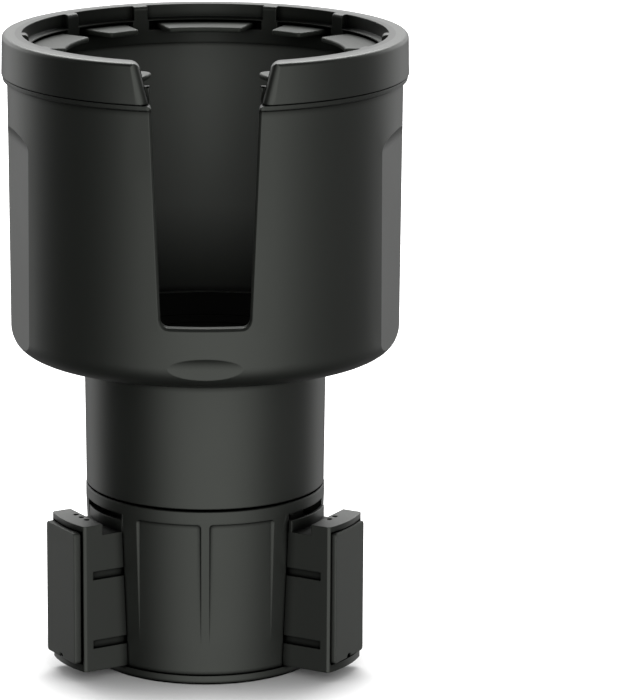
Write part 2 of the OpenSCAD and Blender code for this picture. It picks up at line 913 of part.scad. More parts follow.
module base_housing() {
    color([0.2, 0.21, 0.2])
        difference() {
            union() {
                difference() {
                    rotate_extrude()
                        polygon([
                            [middle_r, foot_t],
                            [base_low_r, foot_t],
                            [base_top_r, collar_low_z],
                            [base_top_r, collar_top_z - collar_edge],
                            [base_top_r - collar_edge, collar_top_z],
                            [collar_bore_r, collar_top_z],
                            [collar_bore_r, cavity_z],
                            [middle_r, cavity_z]
                        ]);
                    for (a = arm_angles)
                        rotate([0, 0, a])
                            bar(guide_w, 0, far / 2, foot_t - 1, collar_low_z);
                    for (a = arm_angles)
                        column_hollow(a + 60);
                }
                for (a = arm_angles, z = groove_zs, side = [-1, 1])
                    rotate([0, 0, a])
                        guide_rail(side, z);
            }
            for (side = [-1, 1])
                front_panel(side);
            for (a = arm_angles)
                rotate([0, 0, a + 60])
                    translate([foot_screw_ring_r, 0, 0])
                        disc(screw_pilot_r, foot_t - 1, foot_t + pilot_l);
        }
}

module foot_plate() {
    post_top_z = ridge_low_z - 0.2;
    color([0.18, 0.19, 0.18])
        difference() {
            rotate_extrude()
                polygon([
                    [0, 0],
                    [foot_r - foot_edge, 0],
                    [foot_r, foot_edge],
                    [foot_r, foot_t],
                    [spigot_r, foot_t],
                    [spigot_r, post_top_z],
                    [0, post_top_z]
                ]);
            disc(foot_recess_r, -1, foot_recess_d);
            disc(bolt_head_r + snug, -1, bolt_seat_z);
            disc(spindle_r + fit, 0, post_top_z + 1);
            for (a = arm_angles)
                rotate([0, 0, a + 60])
                    translate([foot_screw_ring_r, 0, 0]) {
                        disc(screw_hole_r, -1, foot_t + 1);
                        disc(screw_head_r + snug, -1, foot_screw_z);
                    }
        }
}

module foot_screws() {
    color([0.6, 0.6, 0.62])
        for (a = arm_angles)
            rotate([0, 0, a + 60])
                translate([foot_screw_ring_r, 0, foot_screw_z])
                    rotate([180, 0, 0]) {
                        disc(screw_head_r, 0, foot_screw_head_h);
                        disc(screw_pilot_r - fit, -foot_screw_l, eps);
                    }
}

module spindle_bolt() {
    color([0.6, 0.6, 0.62])
        difference() {
            union() {
                disc(bolt_head_r, bolt_seat_z - bolt_head_h, bolt_seat_z);
                disc(spindle_r, bolt_seat_z - eps, bolt_top_z);
            }
            translate([0, 0, -1])
                cylinder(r = bolt_socket_r, h = bolt_socket_z + 1, $fn = 6);
        }
}

module spindle_washer() {
    color([0.6, 0.6, 0.62])
        ring(washer_r, spindle_r + fit, washer_z, washer_z + washer_t);
}

module spindle_nut() {
    color([0.6, 0.6, 0.62])
        difference() {
            translate([0, 0, nut_z])
                cylinder(r = nut_flats / cos(30), h = nut_t, $fn = 6);
            disc(spindle_r + fit, nut_z - 1, nut_z + nut_t + 1);
        }
}

// arc-shaped tooth across an arm, concentric with the scroll at mid travel
module rack_tooth(s, thick, half, z0, z1) {
    centre = travel / 2;
    translate([centre, 0, 0])
        intersection() {
            ring(s - centre + thick / 2, s - centre - thick / 2, z0, z1);
            bar(half, 0, far / 2, z0 - 1, z1 + 1);
        }
}

// arm in its own direction, X outwards; dots tells how many index holes it has
module arm_shape(dots) {
    difference() {
        union() {
            intersection() {
                union() {
                    bar(arm_w, arm_inner_s, far / 4, arm_low_z, arm_top_z);
                    bar(arm_w, arm_head_s, far / 4, arm_top_z - eps, arm_top_z + arm_head_h);
                }
                translate([lobe_s, 0, 0])
                    disc(arm_back_r, 0, far);
            }
            bar(tooth_w + 0.8, arm_inner_s, tooth_s + 2.5 * pitch, arm_top_z - eps, rack_top_z);
            for (n = [0:2])
                rack_tooth(tooth_s + n * pitch, tooth_t, tooth_w, rack_top_z - eps, rack_top_z + tooth_h);
            rack_tooth(tooth_s + 4 * pitch, tooth_t, arm_w, arm_top_z - eps, rack_top_z);
        }
        for (z = groove_zs, side = [-1, 1])
            translate([arm_inner_s - 1, side > 0 ? arm_w - groove_d : -arm_w - 1, z - groove_h / 2])
                cube([groove_s - arm_inner_s + 1, groove_d + 1, groove_h]);
        bar(arm_w - 0.8, recess_s, far / 4, pad_low_z - pass, pad_top_z + pass);
        bar(socket_w, socket_s, far / 4, pad_low_z + socket_margin_z, pad_top_z - socket_margin_z);
        bar(cell_w, cell_in_s, (cell_in_s + cell_out_s - cell_wall) / 2, 0, arm_top_z - 2);
        bar(cell_w, (cell_in_s + cell_out_s + cell_wall) / 2, cell_out_s, 0, arm_top_z - 2);
        for (side = [-1, 1])
            translate([lobe_s + chord_y(arm_back_r, arm_w) - arm_edge, side * arm_w, 0])
                rotate([0, 0, side * arm_edge_turn])
                    translate([0, side > 0 ? 0 : -arm_w, 0])
                        cube([arm_w, arm_w, far / 3]);
        for (n = [0:dots - 1])
            translate([index_s, (n - (dots - 1) / 2) * index_pitch, arm_top_z + arm_head_h - index_depth])
                cylinder(d = index_d, h = index_depth + 1, $fn = 32);
    }
}

module place_arm(i) {
    rotate([0, 0, arm_angles[i]])
        translate([arm_shifts[i], 0, 0])
            children();
}

module arm(i) {
    color([0.19, 0.2, 0.19])
        place_arm(i)
            arm_shape(i + 1);
}

// rubber pad: a plate with round edges and a block that fills the arm's socket
module pad(i) {
    seat_s = socket_s + arm_shifts[i];
    r = pad_edge_r;
    color([0.25, 0.26, 0.25])
        rotate([0, 0, arm_angles[i]])
            difference() {
                union() {
                    translate([0, 0, pad_low_z])
                        linear_extrude(pad_top_z - pad_low_z)
                            union() {
                                translate([pad_s - pad_t, -pad_w])
                                    square([pad_t - r, 2 * pad_w]);
                                translate([pad_s - pad_t, -pad_w + r])
                                    square([pad_t, 2 * pad_w - 2 * r]);
                                for (side = [-1, 1])
                                    translate([pad_s - r, side * (pad_w - r)])
                                        circle(r, $fn = 32);
                            }
                    bar(socket_w - press, seat_s, pad_s - pad_t + eps,
                        pad_low_z + socket_margin_z + press, pad_top_z - socket_margin_z - press);
                }
                translate([pad_s - pad_t / 2, 0, pad_low_z])
                    rotate([0, 90, 0])
                        cylinder(r = pad_notch_r, h = pad_t, $fn = 32);
            }
}

module arm_1() { arm(0); }
module arm_2() { arm(1); }
module arm_3() { arm(2); }
module pad_1() { pad(0); }
module pad_2() { pad(1); }
module pad_3() { pad(2); }

cup_body();
rim_cap();
tab_ring();
floor_mat();
cup_screws();
neck_sleeve();
scroll_disc();
scroll_screws();
friction_ring();
base_housing();
foot_plate();
foot_screws();
spindle_bolt();
spindle_washer();
spindle_nut();
arm_1();
arm_2();
arm_3();
pad_1();
pad_2();
pad_3();
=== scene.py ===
import math
import bpy
import bmesh
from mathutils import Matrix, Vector


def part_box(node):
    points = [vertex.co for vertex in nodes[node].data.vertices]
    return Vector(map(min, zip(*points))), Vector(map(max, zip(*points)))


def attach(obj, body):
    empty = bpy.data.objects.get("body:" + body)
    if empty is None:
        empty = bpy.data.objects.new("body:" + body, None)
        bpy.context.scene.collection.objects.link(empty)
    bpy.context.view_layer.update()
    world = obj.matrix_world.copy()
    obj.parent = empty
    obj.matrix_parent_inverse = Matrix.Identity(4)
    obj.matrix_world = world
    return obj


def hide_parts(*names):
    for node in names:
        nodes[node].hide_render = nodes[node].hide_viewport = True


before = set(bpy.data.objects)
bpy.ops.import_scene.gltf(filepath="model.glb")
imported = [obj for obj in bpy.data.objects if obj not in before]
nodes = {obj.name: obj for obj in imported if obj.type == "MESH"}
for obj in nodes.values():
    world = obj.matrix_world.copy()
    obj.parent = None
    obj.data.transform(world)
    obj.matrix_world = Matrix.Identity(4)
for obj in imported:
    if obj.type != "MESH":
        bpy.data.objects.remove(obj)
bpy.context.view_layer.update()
print("frame loaded:", len(nodes), "nodes")


# camera and framing

cameraLook = {
    "place": (0.0, -1.14451, 0.36604),
    "pitchDown": 13.5897,  # degrees below level
    "lens": 212.41,        # mm
    "sensorWidth": 36,     # mm
    "shiftX": 0.1497,      # the object stands left of the picture's middle
    "nearest": 0.05,       # nothing nearer than this is drawn
}


def setCamera(look):
    data = bpy.data.cameras.new("cameraFront")
    data.lens = look["lens"]
    data.sensor_width = look["sensorWidth"]
    data.shift_x = look["shiftX"]
    data.clip_start = look["nearest"]
    camera = bpy.data.objects.new("cameraFront", data)
    camera.location = look["place"]
    camera.rotation_euler = (math.radians(90 - look["pitchDown"]), 0, 0)
    bpy.context.scene.collection.objects.link(camera)
    bpy.context.scene.camera = camera


setCamera(cameraLook)
bpy.context.scene.view_settings.view_transform = "Standard"
print("camera set")


# shader node helpers

def newGroup(name, inputs, outputs):
    group = bpy.data.node_groups.new(name, "ShaderNodeTree")
    for label, kind, value in inputs:
        socket = group.interface.new_socket(name=label, in_out="INPUT", socket_type=kind)
        socket.default_value = value
    for label, kind in outputs:
        group.interface.new_socket(name=label, in_out="OUTPUT", socket_type=kind)
    start = group.nodes.new("NodeGroupInput")
    end = group.nodes.new("NodeGroupOutput")
    return group, start, end


def addNode(tree, kind, **settings):
    node = tree.nodes.new(kind)
    for key, value in settings.items():
        setattr(node, key, value)
    return node


# another node's output is linked to the socket, a number or colour is set on it
def feed(tree, socket, value):
    if isinstance(value, bpy.types.NodeSocket):
        tree.links.new(value, socket)
    else:
        socket.default_value = value


def mathNode(tree, operation, a, b=0.0):
    node = addNode(tree, "ShaderNodeMath", operation=operation)
    feed(tree, node.inputs[0], a)
    feed(tree, node.inputs[1], b)
    return node.outputs[0]


def clampNode(tree, value):
    return mathNode(tree, "MINIMUM", mathNode(tree, "MAXIMUM", value, 0.0), 1.0)


def mixColors(tree, factor, a, b, blend="MIX"):
    mix = addNode(tree, "ShaderNodeMix", data_type="RGBA", blend_type=blend)
    feed(tree, mix.inputs["Factor"], factor)
    feed(tree, mix.inputs["A"], a)
    feed(tree, mix.inputs["B"], b)
    return mix.outputs["Result"]


def splitNode(tree, vector):
    split = addNode(tree, "ShaderNodeSeparateXYZ")
    tree.links.new(vector, split.inputs[0])
    return split.outputs


def objectCoords(tree):
    return addNode(tree, "ShaderNodeTexCoord").outputs["Object"]


# how much the surface faces up, from -1 to 1
def upwardness(tree):
    return splitNode(tree, addNode(tree, "ShaderNodeNewGeometry").outputs["Normal"])["Z"]


def noiseNode(tree, scale, detail, coords):
    node = addNode(tree, "ShaderNodeTexNoise")
    node.inputs["Detail"].default_value = detail
    feed(tree, node.inputs["Scale"], scale)
    tree.links.new(coords, node.inputs["Vector"])
    return node.outputs["Fac"]


# shader groups

grainLook = {"fineDetail": 3.0, "broadScale": 55.0, "broadDetail": 4.0, "fineShare": 0.4, "broadShare": 0.6}
driftLook = {"cloudScale": 26.0, "cloudDetail": 3.0, "speckScale": 900.0, "speckDetail": 2.0}
spaceLook = {
    # the cup's inner wall gets painted light, faded out to its foot and dimmed below the tabs as painted
    # shade
    "radius": 0.05265,        # a little more than the inner radius of the cup
    "lowest": 0.0930,         # height of the inner wall's foot
    "shadeHeight": 0.028,     # over which the wall gets paler from its foot up
    "upperHeight": 0.045,     # over which it then gets its upper colour
    "ledgeFlatness": 0.8,
    "ledgeReach": 0.006,      # the ledge lies this close to the wall's foot
}
creaseSamples = 8


# fine spark-eroded grain of a moulded surface, as a height and a roughness
def makeMouldGrain(look):
    group, start, end = newGroup("mouldGrain", [
        ("Grain Scale", "NodeSocketFloat", 2600.0),
        ("Roughness", "NodeSocketFloat", 0.4),
        ("Roughness Spread", "NodeSocketFloat", 0.05),
    ], [("Height", "NodeSocketFloat"), ("Roughness", "NodeSocketFloat")])
    coords = objectCoords(group)
    fine = noiseNode(group, start.outputs["Grain Scale"], look["fineDetail"], coords)
    broad = noiseNode(group, look["broadScale"], look["broadDetail"], coords)
    finePart = mathNode(group, "MULTIPLY", fine, look["fineShare"])
    broadPart = mathNode(group, "MULTIPLY", broad, look["broadShare"])
    offMiddle = mathNode(group, "SUBTRACT", mathNode(group, "ADD", finePart, broadPart), 0.5)
    swing = mathNode(group, "MULTIPLY", offMiddle, start.outputs["Roughness Spread"])
    rough = mathNode(group, "ADD", start.outputs["Roughness"], swing)
    group.links.new(fine, end.inputs["Height"])
    group.links.new(rough, end.inputs["Roughness"])
    return group


# slow change of tone over a moulding, and a little dust on its upward faces
def makeToneDrift(look):
    group, start, end = newGroup("toneDrift", [
        ("Color", "NodeSocketColor", (0.04, 0.04, 0.04, 1)),
        ("Pale Color", "NodeSocketColor", (0.06, 0.06, 0.06, 1)),
        ("Drift", "NodeSocketFloat", 0.3),
        ("Dust", "NodeSocketFloat", 0.05),
    ], [("Color", "NodeSocketColor")])
    coords = objectCoords(group)
    cloud = noiseNode(group, look["cloudScale"], look["cloudDetail"], coords)
    speck = noiseNode(group, look["speckScale"], look["speckDetail"], coords)
    upward = mathNode(group, "MAXIMUM", upwardness(group), 0.0)
    dust = mathNode(group, "MULTIPLY", mathNode(group, "MULTIPLY", upward, speck), start.outputs["Dust"])
    amount = mathNode(group, "ADD", mathNode(group, "MULTIPLY", cloud, start.outputs["Drift"]), dust)
    mixed = mixColors(group, amount, start.outputs["Color"], start.outputs["Pale Color"])
    group.links.new(mixed, end.inputs["Color"])
    return group


# the space within the cup, where its inner wall gets painted light: Mask is 1 there and 0 outside, and Upper
# grows from 0 to 1 towards the rim
def makeInsideMask(look):
    group, start, end = newGroup("insideMask", [
        ("Radius", "NodeSocketFloat", look["radius"]),
        ("Lowest", "NodeSocketFloat", look["lowest"]),
        ("Shade Height", "NodeSocketFloat", look["shadeHeight"]),
        ("Upper Height", "NodeSocketFloat", look["upperHeight"]),
    ], [("Mask", "NodeSocketFloat"), ("Upper", "NodeSocketFloat")])
    place = splitNode(group, objectCoords(group))
    level = addNode(group, "ShaderNodeCombineXYZ")
    group.links.new(place["X"], level.inputs["X"])
    group.links.new(place["Y"], level.inputs["Y"])
    length = addNode(group, "ShaderNodeVectorMath", operation="LENGTH")
    group.links.new(level.outputs[0], length.inputs[0])
    near = mathNode(group, "LESS_THAN", length.outputs["Value"], start.outputs["Radius"])
    height = mathNode(group, "SUBTRACT", place["Z"], start.outputs["Lowest"])
    # painted shade: the wall's painted light fades out to its foot
    wall = clampNode(group, mathNode(group, "DIVIDE", height, start.outputs["Shade Height"]))
    # painted light: the ledge at the foot is as pale as the wall
    flat = mathNode(group, "GREATER_THAN", upwardness(group), look["ledgeFlatness"])
    low = mathNode(group, "LESS_THAN", mathNode(group, "ABSOLUTE", height), look["ledgeReach"])
    pale = mathNode(group, "MAXIMUM", wall, mathNode(group, "MULTIPLY", flat, low))
    above = mathNode(group, "SUBTRACT", height, start.outputs["Shade Height"])
    upper = clampNode(group, mathNode(group, "DIVIDE", above, start.outputs["Upper Height"]))
    group.links.new(mathNode(group, "MULTIPLY", near, pale), end.inputs["Mask"])
    group.links.new(upper, end.inputs["Upper"])
    return group


# painted shade: 1 on open faces and less in creases and holes, where colour and gloss are darkened
def makeCreaseShade(samples):
    group, start, end = newGroup("creaseShade", [
        ("Reach", "NodeSocketFloat", 0.003),
        ("Depth", "NodeSocketFloat", 2.5),
    ], [("Openness", "NodeSocketFloat")])
    crease = addNode(group, "ShaderNodeAmbientOcclusion", samples=samples)
    group.links.new(start.outputs["Reach"], crease.inputs["Distance"])
    openness = mathNode(group, "POWER", crease.outputs["AO"], start.outputs["Depth"])
    group.links.new(openness, end.inputs["Openness"])
    return group


mouldGrain = makeMouldGrain(grainLook)
toneDrift = makeToneDrift(driftLook)
insideMask = makeInsideMask(spaceLook)
creaseShade = makeCreaseShade(creaseSamples)
print("shader groups made")


# moulded, rubber and steel finishes

# what a finish doesn't state is taken from here
plainLook = {
    "drift": 0.3,
    "dust": 0.05,
    "spread": 0.06,                        # of the roughness
    "edge": 0.0004,                        # radius of the soft edges
    "edgeSamples": 6,
    "grainHeight": 0.00005,
    "metallic": 0.0,
    "specular": 0.5,
    "specularTint": (0.95, 1.0, 0.92, 1),  # the gloss is slightly green
    "creaseReach": 0.003,                  # how near a neighbour has to be to darken a face
    "creaseDepth": 2.5,
}


# soft edges with the mould's grain on them
def addSurface(tree, shader, look):
    grain = addNode(tree, "ShaderNodeGroup", node_tree=mouldGrain)
    grain.inputs["Grain Scale"].default_value = look["grainScale"]
    grain.inputs["Roughness"].default_value = look["roughness"]
    grain.inputs["Roughness Spread"].default_value = look["spread"]
    softEdge = addNode(tree, "ShaderNodeBevel", samples=look["edgeSamples"])
    softEdge.inputs["Radius"].default_value = look["edge"]
    bump = addNode(tree, "ShaderNodeBump")
    bump.inputs["Strength"].default_value = look["grainDepth"]
    bump.inputs["Distance"].default_value = look["grainHeight"]
    tree.links.new(softEdge.outputs["Normal"], bump.inputs["Normal"])
    tree.links.new(grain.outputs["Height"], bump.inputs["Height"])
    tree.links.new(bump.outputs["Normal"], shader.inputs["Normal"])
    tree.links.new(grain.outputs["Roughness"], shader.inputs["Roughness"])


# the finish's own tone and, on the cup, painted light on its inner wall: a paler colour, dimmer towards the
# rim as painted shade below the tabs
def addTone(tree, look):
    tone = addNode(tree, "ShaderNodeGroup", node_tree=toneDrift)
    tone.inputs["Color"].default_value = (*look["color"], 1)
    tone.inputs["Pale Color"].default_value = (*look["pale"], 1)
    tone.inputs["Drift"].default_value = look["drift"]
    tone.inputs["Dust"].default_value = look["dust"]
    if "inside" not in look:
        return tone.outputs["Color"]
    space = addNode(tree, "ShaderNodeGroup", node_tree=insideMask)
    wall = mixColors(tree, space.outputs["Upper"], (*look["inside"], 1), (*look["insideUpper"], 1))
    return mixColors(tree, space.outputs["Mask"], tone.outputs["Color"], wall)


# painted shade: the gloss is weaker in creases and, where a finish says so, in the rim's pockets
def addGloss(tree, openness, look):
    level = look["specular"]
    if "pocketSpecular" in look:
        pockets = addNode(tree, "ShaderNodeGroup", node_tree=insideMask)
        pockets.inputs["Radius"].default_value = look["pocketRadius"]
        change = mathNode(tree, "MULTIPLY", pockets.outputs["Mask"], look["pocketSpecular"] - level)
        level = mathNode(tree, "ADD", change, level)
    return mathNode(tree, "MULTIPLY", openness, level)


def finishMaterial(name, ownLook):
    look = {**plainLook, **ownLook}
    material = bpy.data.materials.new(name)
    material.use_nodes = True
    tree = material.node_tree
    shader = tree.nodes["Principled BSDF"]
    addSurface(tree, shader, look)
    crease = addNode(tree, "ShaderNodeGroup", node_tree=creaseShade)
    crease.inputs["Reach"].default_value = look["creaseReach"]
    crease.inputs["Depth"].default_value = look["creaseDepth"]
    openness = crease.outputs["Openness"]
    # the gloss comes through a link, not a value on the socket, and is lost where only socket values are read
    # painted shade: the gloss level falls in creases and the rim's pockets
    tree.links.new(addGloss(tree, openness, look), shader.inputs["Specular IOR Level"])
    # painted shade: the colour is darkened in creases and holes
    color = mixColors(tree, 1.0, addTone(tree, look), openness, blend="MULTIPLY")
    tree.links.new(color, shader.inputs["Base Color"])
    shader.inputs["Metallic"].default_value = look["metallic"]
    shader.inputs["Specular Tint"].default_value = look["specularTint"]
    return material


satinBlack = {"color": (0.0080, 0.0088, 0.0077), "pale": (0.011, 0.0119, 0.0105),
              "grainScale": 2600, "grainDepth": 0.12}
finishes = {
    "cupPlastic": {**satinBlack, "roughness": 0.42, "creaseReach": 0.0018, "creaseDepth": 2.0,
                   # painted light: the cup's inner wall is painted paler, and dimmer towards the rim as
                   # painted shade below the tabs
                   "inside": (0.090, 0.094, 0.088), "insideUpper": (0.040, 0.042, 0.039)},
    "rimPlastic": {**satinBlack, "color": (0.0070, 0.0077, 0.0068), "pale": (0.009, 0.0098, 0.0086),
                   "roughness": 0.38, "creaseReach": 0.002, "creaseDepth": 2.0,
                   # painted shade: the rim's pockets get a weaker gloss
                   "pocketRadius": 0.0533, "pocketSpecular": 0.3},
    "basePlastic": {**satinBlack, "roughness": 0.44, "creaseReach": 0.0013, "creaseDepth": 5.0},
    "armPlastic": {**satinBlack, "roughness": 0.42},
    "tabRubber": {"color": (0.018, 0.020, 0.017), "pale": (0.028, 0.030, 0.027), "roughness": 0.5,
                  "grainScale": 1800, "grainDepth": 0.2, "dust": 0.2, "specular": 0.28},
    "padRubber": {"color": (0.034, 0.036, 0.033), "pale": (0.046, 0.048, 0.045), "roughness": 0.55,
                  "grainScale": 1800, "grainDepth": 0.25, "dust": 0.2, "specular": 0.38},
    "matRubber": {"color": (0.008, 0.008, 0.008), "pale": (0.012, 0.012, 0.012), "roughness": 0.85,
                  "grainScale": 1500, "grainDepth": 0.3, "dust": 0.1, "specular": 0.15},
    "scrollPlastic": {"color": (0.33, 0.33, 0.32), "pale": (0.42, 0.42, 0.40), "roughness": 0.38,
                      "grainScale": 2600, "grainDepth": 0.08},
    "screwSteel": {"color": (0.52, 0.52, 0.54), "pale": (0.66, 0.66, 0.68), "roughness": 0.3,
                   "grainScale": 900, "grainDepth": 0.1, "spread": 0.15, "edge": 0.0002, "metallic": 1.0},
}
materials = {name: finishMaterial(name, look) for name, look in finishes.items()}

nodeFinish = {
    "cup_body": "cupPlastic", "rim_cap": "rimPlastic", "neck_sleeve": "cupPlastic",
    "tab_ring": "tabRubber", "floor_mat": "matRubber", "friction_ring": "matRubber",
    "scroll_disc": "scrollPlastic", "base_housing": "basePlastic", "foot_plate": "basePlastic",
    "arm_1": "armPlastic", "arm_2": "armPlastic", "arm_3": "armPlastic",
    "pad_1": "padRubber", "pad_2": "padRubber", "pad_3": "padRubber",
    "cup_screws": "screwSteel", "scroll_screws": "screwSteel", "foot_screws": "screwSteel",
    "spindle_bolt": "screwSteel", "spindle_washer": "screwSteel", "spindle_nut": "screwSteel",
}
for name, finish in nodeFinish.items():
    mesh = nodes[name].data
    mesh.materials.clear()
    mesh.materials.append(materials[finish])
print("materials set:", len(materials))


# helpers for moulded pieces; outlines are flat points in metres, and headings are in degrees

def polar(radius, heading):
    turn = math.radians(heading)
    return Vector((radius * math.cos(turn), radius * math.sin(turn)))


# closed outline from corners (point, rounding); a rounding of 0 keeps the point as it is
def roundOutline(corners, steps=6):
    points = []
    for i, (corner, rounding) in enumerate(corners):
        before, after = corners[i - 1][0], corners[(i + 1) % len(corners)][0]
        if rounding == 0:
            points.append(corner)
            continue
        start = corner + (before - corner).normalized() * rounding
        end = corner + (after - corner).normalized() * rounding
        for k in range(steps + 1):
            s = k / steps
            points.append(start * (1 - s) ** 2 + corner * 2 * s * (1 - s) + end * s ** 2)
    return points


# the outline moved inwards by a small distance
def insetOutline(points, distance, leastSlant=0.5):
    moved = []
    for i, point in enumerate(points):
        before, after = points[i - 1], points[(i + 1) % len(points)]
        a, b = (point - before).normalized(), (after - point).normalized()
        inward = Vector((-a.y - b.y, a.x + b.x)).normalized()
        slant = max(leastSlant, inward.dot(Vector((-a.y, a.x))))
        moved.append(point + inward * (distance / slant))
    return moved


# joins each ring of points to the next one and closes both ends
def skinRings(bm, rings):
    count = len(rings[0])
    for ring, following in zip(rings, rings[1:]):
        for i in range(count):
            k = (i + 1) % count
            bm.faces.new((ring[i], ring[k], following[k], following[i]))
    bm.faces.new(list(reversed(rings[0])))
    bm.faces.new(rings[-1])


# flat moulded piece with round edges; place turns a flat point and a height into a place
def addPlate(bm, outline, low, high, edge, place, steps=4, capShare=1.2):
    turns = [math.radians(90 * k / steps) for k in range(steps + 1)]
    rounding = [(edge * (1 - math.sin(a)), edge * (1 - math.cos(a))) for a in turns]
    # one more ring on each flat face keeps it level beside its round edge
    levels = [(edge * capShare, low)] + [(inset, low + rise) for inset, rise in rounding]
    levels += [(inset, high - rise) for inset, rise in reversed(rounding)] + [(edge * capShare, high)]
    skinRings(bm, [[bm.verts.new(place(point, level)) for point in insetOutline(outline, inset)]
                   for inset, level in levels])


# part of a ring about the axis, with a rectangular section
def addRingPart(bm, inner, outer, low, high, start, end, steps=120):
    section = ((inner, low), (outer, low), (outer, high), (inner, high))
    headings = [start + (end - start) * k / steps for k in range(steps + 1)]
    skinRings(bm, [[bm.verts.new((*polar(radius, heading), level)) for radius, level in section]
                   for heading in headings])


def finishPiece(bm, name, finish, body, replaced):
    bmesh.ops.recalc_face_normals(bm, faces=bm.faces)
    for face in bm.faces:
        face.smooth = True
    mesh = bpy.data.meshes.new(name)
    bm.to_mesh(mesh)
    bm.free()
    dressPiece(mesh, name, finish, body, replaced)


def dressPiece(mesh, name, finish, body, replaced):
    mesh.materials.clear()
    mesh.materials.append(materials[finish])
    piece = bpy.data.objects.new(name, mesh)
    bpy.context.scene.collection.objects.link(piece)
    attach(piece, body)
    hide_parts(replaced)


# five wide and four narrow grip tabs on one ring; the gap takes the place of a fifth narrow one
tabLook = {
    "top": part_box("tab_ring")[1].z,
    "thickness": 0.0015,
    "ringStandsOver": 0.0002,
    "ringLow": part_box("tab_ring")[0].z,
    "ringRadii": (0.0526, 0.0534),
    "openRadius": 0.0393,
    "rootRadius": 0.0530,
    "wideCount": 5,
    "wide": (15.3, 16.7),        # half angle at the free edge and at the root
    "narrow": (7.1, 8.9),
    "edge": 0.0005,              # rounding of the top and bottom edges
    "corner": 0.0011,            # rounding of the free corners
    "front": 270,
    "back": 90,
    "tongueCorner": 0.0036,      # rounding of the corners at the gap
    "tongueClear": 1.2,          # the free edge's curve starts this many roundings from that corner
    "gapFrom": 20.5,             # the front tabs end this far from the front
    "endWall": ((0.0492, 20.5), (0.0511, 23.4), (0.0530, 23.4)),
    "wallClear": 0.5,            # the root's curve starts this far behind the end wall
    "ringFrom": 24.2,
}


def tabOutline(look, middle, halves, gapSide):
    free, root = halves
    arcSteps = max(4, round(free))
    shares = [1 - 2 * k / arcSteps for k in range(arcSteps + 1)]
    near = [(polar(look["openRadius"], middle - free), look["corner"])]
    inner = [(polar(look["openRadius"], middle + free * share), 0) for share in shares[1:-1]]
    far = [(polar(look["openRadius"], middle + free), look["corner"])]
    outer = [(polar(look["rootRadius"], middle - root * share), 0) for share in shares]
    if gapSide:
        # the side at the gap: a round tongue, then a step round the rim's end wall
        wall = [(polar(radius, look["front"] + gapSide * heading), 0) for radius, heading in look["endWall"]]
        corner = polar(look["openRadius"], look["front"] + gapSide * look["gapFrom"])
        limit = look["endWall"][-1][1] + look["wallClear"]
        clearance = look["tongueClear"] * look["tongueCorner"]
        outer = [(p, r) for p, r in outer if abs(math.degrees(math.atan2(p.x, -p.y))) > limit]
        inner = [(p, r) for p, r in inner if (p - corner).length > clearance]
        tongue = [(corner, look["tongueCorner"])]
        if gapSide < 0:
            far, outer = tongue, outer + list(reversed(wall))
        else:
            near, outer = tongue, wall + outer
    return near + outer + far + inner


def makeTabRing(look):
    bm = bmesh.new()
    top = look["top"] - look["ringStandsOver"]

    def addTab(middle, halves, gapSide):
        outline = roundOutline(tabOutline(look, middle, halves, gapSide))
        addPlate(bm, outline, top - look["thickness"], top, look["edge"],
                 lambda point, level: (point.x, point.y, level))

    pitch = 360 / look["wideCount"]
    for i in range(look["wideCount"]):
        middle = look["back"] + pitch * i
        fromFront = middle - look["front"]
        gapSide = math.copysign(1, fromFront) if abs(fromFront) < pitch else 0
        addTab(middle, look["wide"], gapSide)
        if middle + pitch / 2 != look["front"]:
            addTab(middle + pitch / 2, look["narrow"], 0)
    addRingPart(bm, *look["ringRadii"], look["ringLow"], look["top"],
                look["front"] + look["ringFrom"], look["front"] + 360 - look["ringFrom"])
    finishPiece(bm, "tabRing", "tabRubber", "cup", "tab_ring")


makeTabRing(tabLook)
print("tab ring made")


# the rim's ends reach nearer to the front than the solid's, most at the top
rimLook = {
    "radius": 0.0545,
    "reachLow": (0.1699, 0.0014),   # height, and how far the ends are drawn forward there
    "reachHigh": (0.1810, 0.0027),
    "wholeTo": 27.0,                # degrees from the front up to which the whole reach counts
    "fadeTo": 36.0,
    "slotHalf": 0.0158,             # what lies nearer to the middle belongs to the slot and stays
}


def makeRimCap(look):
    mesh = nodes["rim_cap"].data.copy()
    (lowAt, lowReach), (highAt, highReach) = look["reachLow"], look["reachHigh"]
    for vertex in mesh.vertices:
        x, y, z = vertex.co
        heading = math.degrees(math.atan2(abs(x), -y))
        if abs(x) < look["slotHalf"] or heading > look["fadeTo"]:
            continue
        fade = min(1, (look["fadeTo"] - heading) / (look["fadeTo"] - look["wholeTo"]))
        weight = fade * fade * (3 - 2 * fade)
        reach = lowReach + (highReach - lowReach) * (z - lowAt) / (highAt - lowAt)
        turn = math.radians(heading) - weight * reach / look["radius"]
        radius = math.hypot(x, y)
        vertex.co = (math.copysign(radius * math.sin(turn), x), -radius * math.cos(turn), z)
    dressPiece(mesh, "rimCap", "rimPlastic", "cup", "rim_cap")


makeRimCap(rimLook)


# the flange under the band has a steep front and a bevel below it
flangeLook = {
    "edgeHeight": 0.1684,     # where the front turns into the bevel
    "edgeRadius": 0.0568,
    "wallRadius": 0.0557,     # only what stands out further belongs to the flange
    "cutSnap": 1e-6,
    "levelSlack": 1e-5,       # a point this close to the edge's height lies on the edge
}


